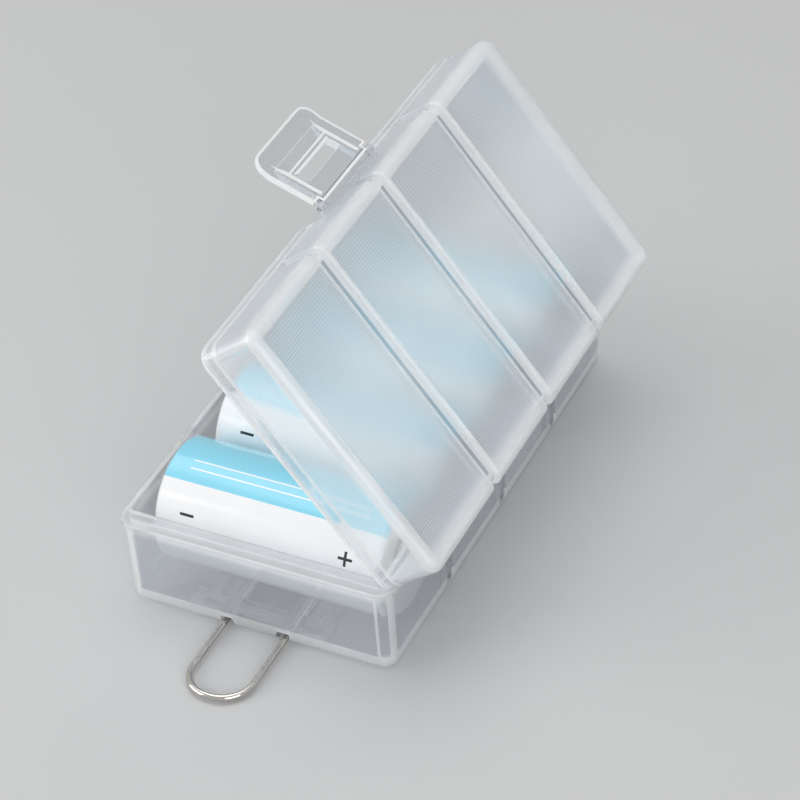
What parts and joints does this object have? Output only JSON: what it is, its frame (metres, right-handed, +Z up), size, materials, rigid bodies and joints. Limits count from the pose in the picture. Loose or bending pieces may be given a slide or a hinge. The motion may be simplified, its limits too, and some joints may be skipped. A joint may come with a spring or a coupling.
{
  "type": "battery storage box",
  "caption": "Translucent plastic storage box for round battery cells, with grooved bays, a hinged lid, a clear snap latch and a hanging wire bail.",
  "frame": {"origin": "on the face that the tray stands on, under the middle of the box", "axes": "+X from the latch side to the hinge side, +Y from the bail end to the rear end, +Z up; the lid rests open by 53 degrees and the latch stands out from it by 58 degrees"},
  "size_m": [0.0953, 0.1654, 0.1076],
  "materials": {
    "frosted": "frosted translucent polypropylene",
    "clear": "clear moulded plastic",
    "bright_wire": "polished nickel plate",
    "pin_steel": "drawn steel wire",
    "sleeve": "glossy shrink film, white with a sky-blue band",
    "cell_steel": "nickel-plated steel",
    "electrode": "wound foil, dull",
    "gasket": "moulded seal",
    "washer": "insulating board"
  },
  "bodies": {
    "base": {"base_tray": "frosted", "hinge_pin_front": "pin_steel", "hinge_pin_rear": "pin_steel"},
    "lid": {"lid_shell": "frosted"},
    "latch": {"latch_clip": "clear"},
    "bail": {"hanging_bail": "bright_wire"},
    "cell_1": {"cell_1_can": "cell_steel", "cell_1_electrode_roll": "electrode", "cell_1_gasket": "gasket", "cell_1_cap": "cell_steel", "cell_1_washer": "washer", "cell_1_sleeve": "sleeve"},
    "cell_2": {"cell_2_can": "cell_steel", "cell_2_electrode_roll": "electrode", "cell_2_gasket": "gasket", "cell_2_cap": "cell_steel", "cell_2_washer": "washer", "cell_2_sleeve": "sleeve"},
    "cell_3": {"cell_3_can": "cell_steel", "cell_3_electrode_roll": "electrode", "cell_3_gasket": "gasket", "cell_3_cap": "cell_steel", "cell_3_washer": "washer", "cell_3_sleeve": "sleeve"},
    "cell_4": {"cell_4_can": "cell_steel", "cell_4_electrode_roll": "electrode", "cell_4_gasket": "gasket", "cell_4_cap": "cell_steel", "cell_4_washer": "washer", "cell_4_sleeve": "sleeve"}
  },
  "joints": [
    {"name": "lid_hinge", "type": "hinge", "parent": "base", "child": "lid", "pos_m": [0.03975, 0, 0.0274], "axis": [0, 1, 0], "range_deg": [-53, 127]},
    {"name": "latch_hinge", "type": "hinge", "parent": "lid", "child": "latch", "pos_m": [-0.00165, 0, 0.09763], "axis": [0, 1, 0], "range_deg": [-58, 92]},
    {"name": "bail_hinge", "type": "hinge", "parent": "base", "child": "bail", "pos_m": [0, -0.06435, 0.0015], "axis": [1, 0, 0], "range_deg": [-6, 180]},
    {"name": "cell_1_roll", "type": "hinge", "parent": "base", "child": "cell_1", "pos_m": [0, -0.04723, 0.0203], "axis": [1, 0, 0], "continuous": true},
    {"name": "cell_2_roll", "type": "hinge", "parent": "base", "child": "cell_2", "pos_m": [0, -0.01438, 0.0203], "axis": [1, 0, 0], "continuous": true},
    {"name": "cell_3_roll", "type": "hinge", "parent": "base", "child": "cell_3", "pos_m": [0, 0.01847, 0.0203], "axis": [1, 0, 0], "continuous": true},
    {"name": "cell_4_roll", "type": "hinge", "parent": "base", "child": "cell_4", "pos_m": [0, 0.05132, 0.0203], "axis": [1, 0, 0], "continuous": true}
  ]
}
